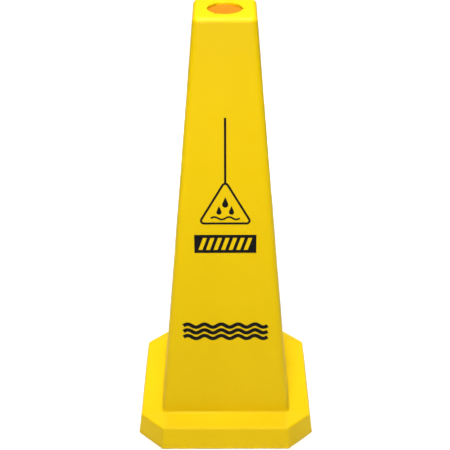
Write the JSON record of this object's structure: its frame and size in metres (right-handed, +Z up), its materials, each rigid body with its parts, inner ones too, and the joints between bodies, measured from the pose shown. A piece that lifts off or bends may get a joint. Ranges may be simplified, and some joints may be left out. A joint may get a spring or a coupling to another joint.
{
  "type": "wet floor sign",
  "caption": "Tall four-sided yellow floor cone on an octagonal weighted base, hollow and stackable, with a lift-out orange plug in its crown and printed warning panels.",
  "frame": {"origin": "centre of the footprint, on the floor under the feet", "axes": "+Z up along the column, front face towards -Y, +X to the right seen from the front"},
  "size_m": [0.367, 0.367, 0.889],
  "materials": {
    "column_plastic": "smooth moulded yellow plastic, semi-gloss",
    "base_plastic": "smooth moulded yellow plastic, semi-gloss, lightly scuffed",
    "plug_plastic": "moulded orange plastic, satin",
    "legend_film": "black print film, satin",
    "ballast_rubber": "recycled rubber, matt and grainy",
    "foot_rubber": "moulded black rubber, matt",
    "zinc_steel": "zinc-plated steel, dull bright"
  },
  "bodies": {
    "sign": {"cone_body": "column_plastic", "base_skirt": "base_plastic", "ballast_ring": "ballast_rubber", "base_screws": "zinc_steel", "base_washers": "zinc_steel", "foot_front_left": "foot_rubber", "foot_front_right": "foot_rubber", "foot_rear_right": "foot_rubber", "foot_rear_left": "foot_rubber", "triangle_front": "legend_film", "triangle_right": "legend_film", "triangle_rear": "legend_film", "triangle_left": "legend_film", "striped_plate_front": "legend_film", "striped_plate_right": "legend_film", "striped_plate_rear": "legend_film", "striped_plate_left": "legend_film", "wave_band_front": "legend_film", "wave_band_right": "legend_film", "wave_band_rear": "legend_film", "wave_band_left": "legend_film"},
    "plug": {"top_plug": "plug_plastic"}
  },
  "joints": [
    {"name": "plug_lift", "type": "slide", "parent": "sign", "child": "plug", "axis": [0, 0, 1], "range_m": [0, 0.06]}
  ]
}
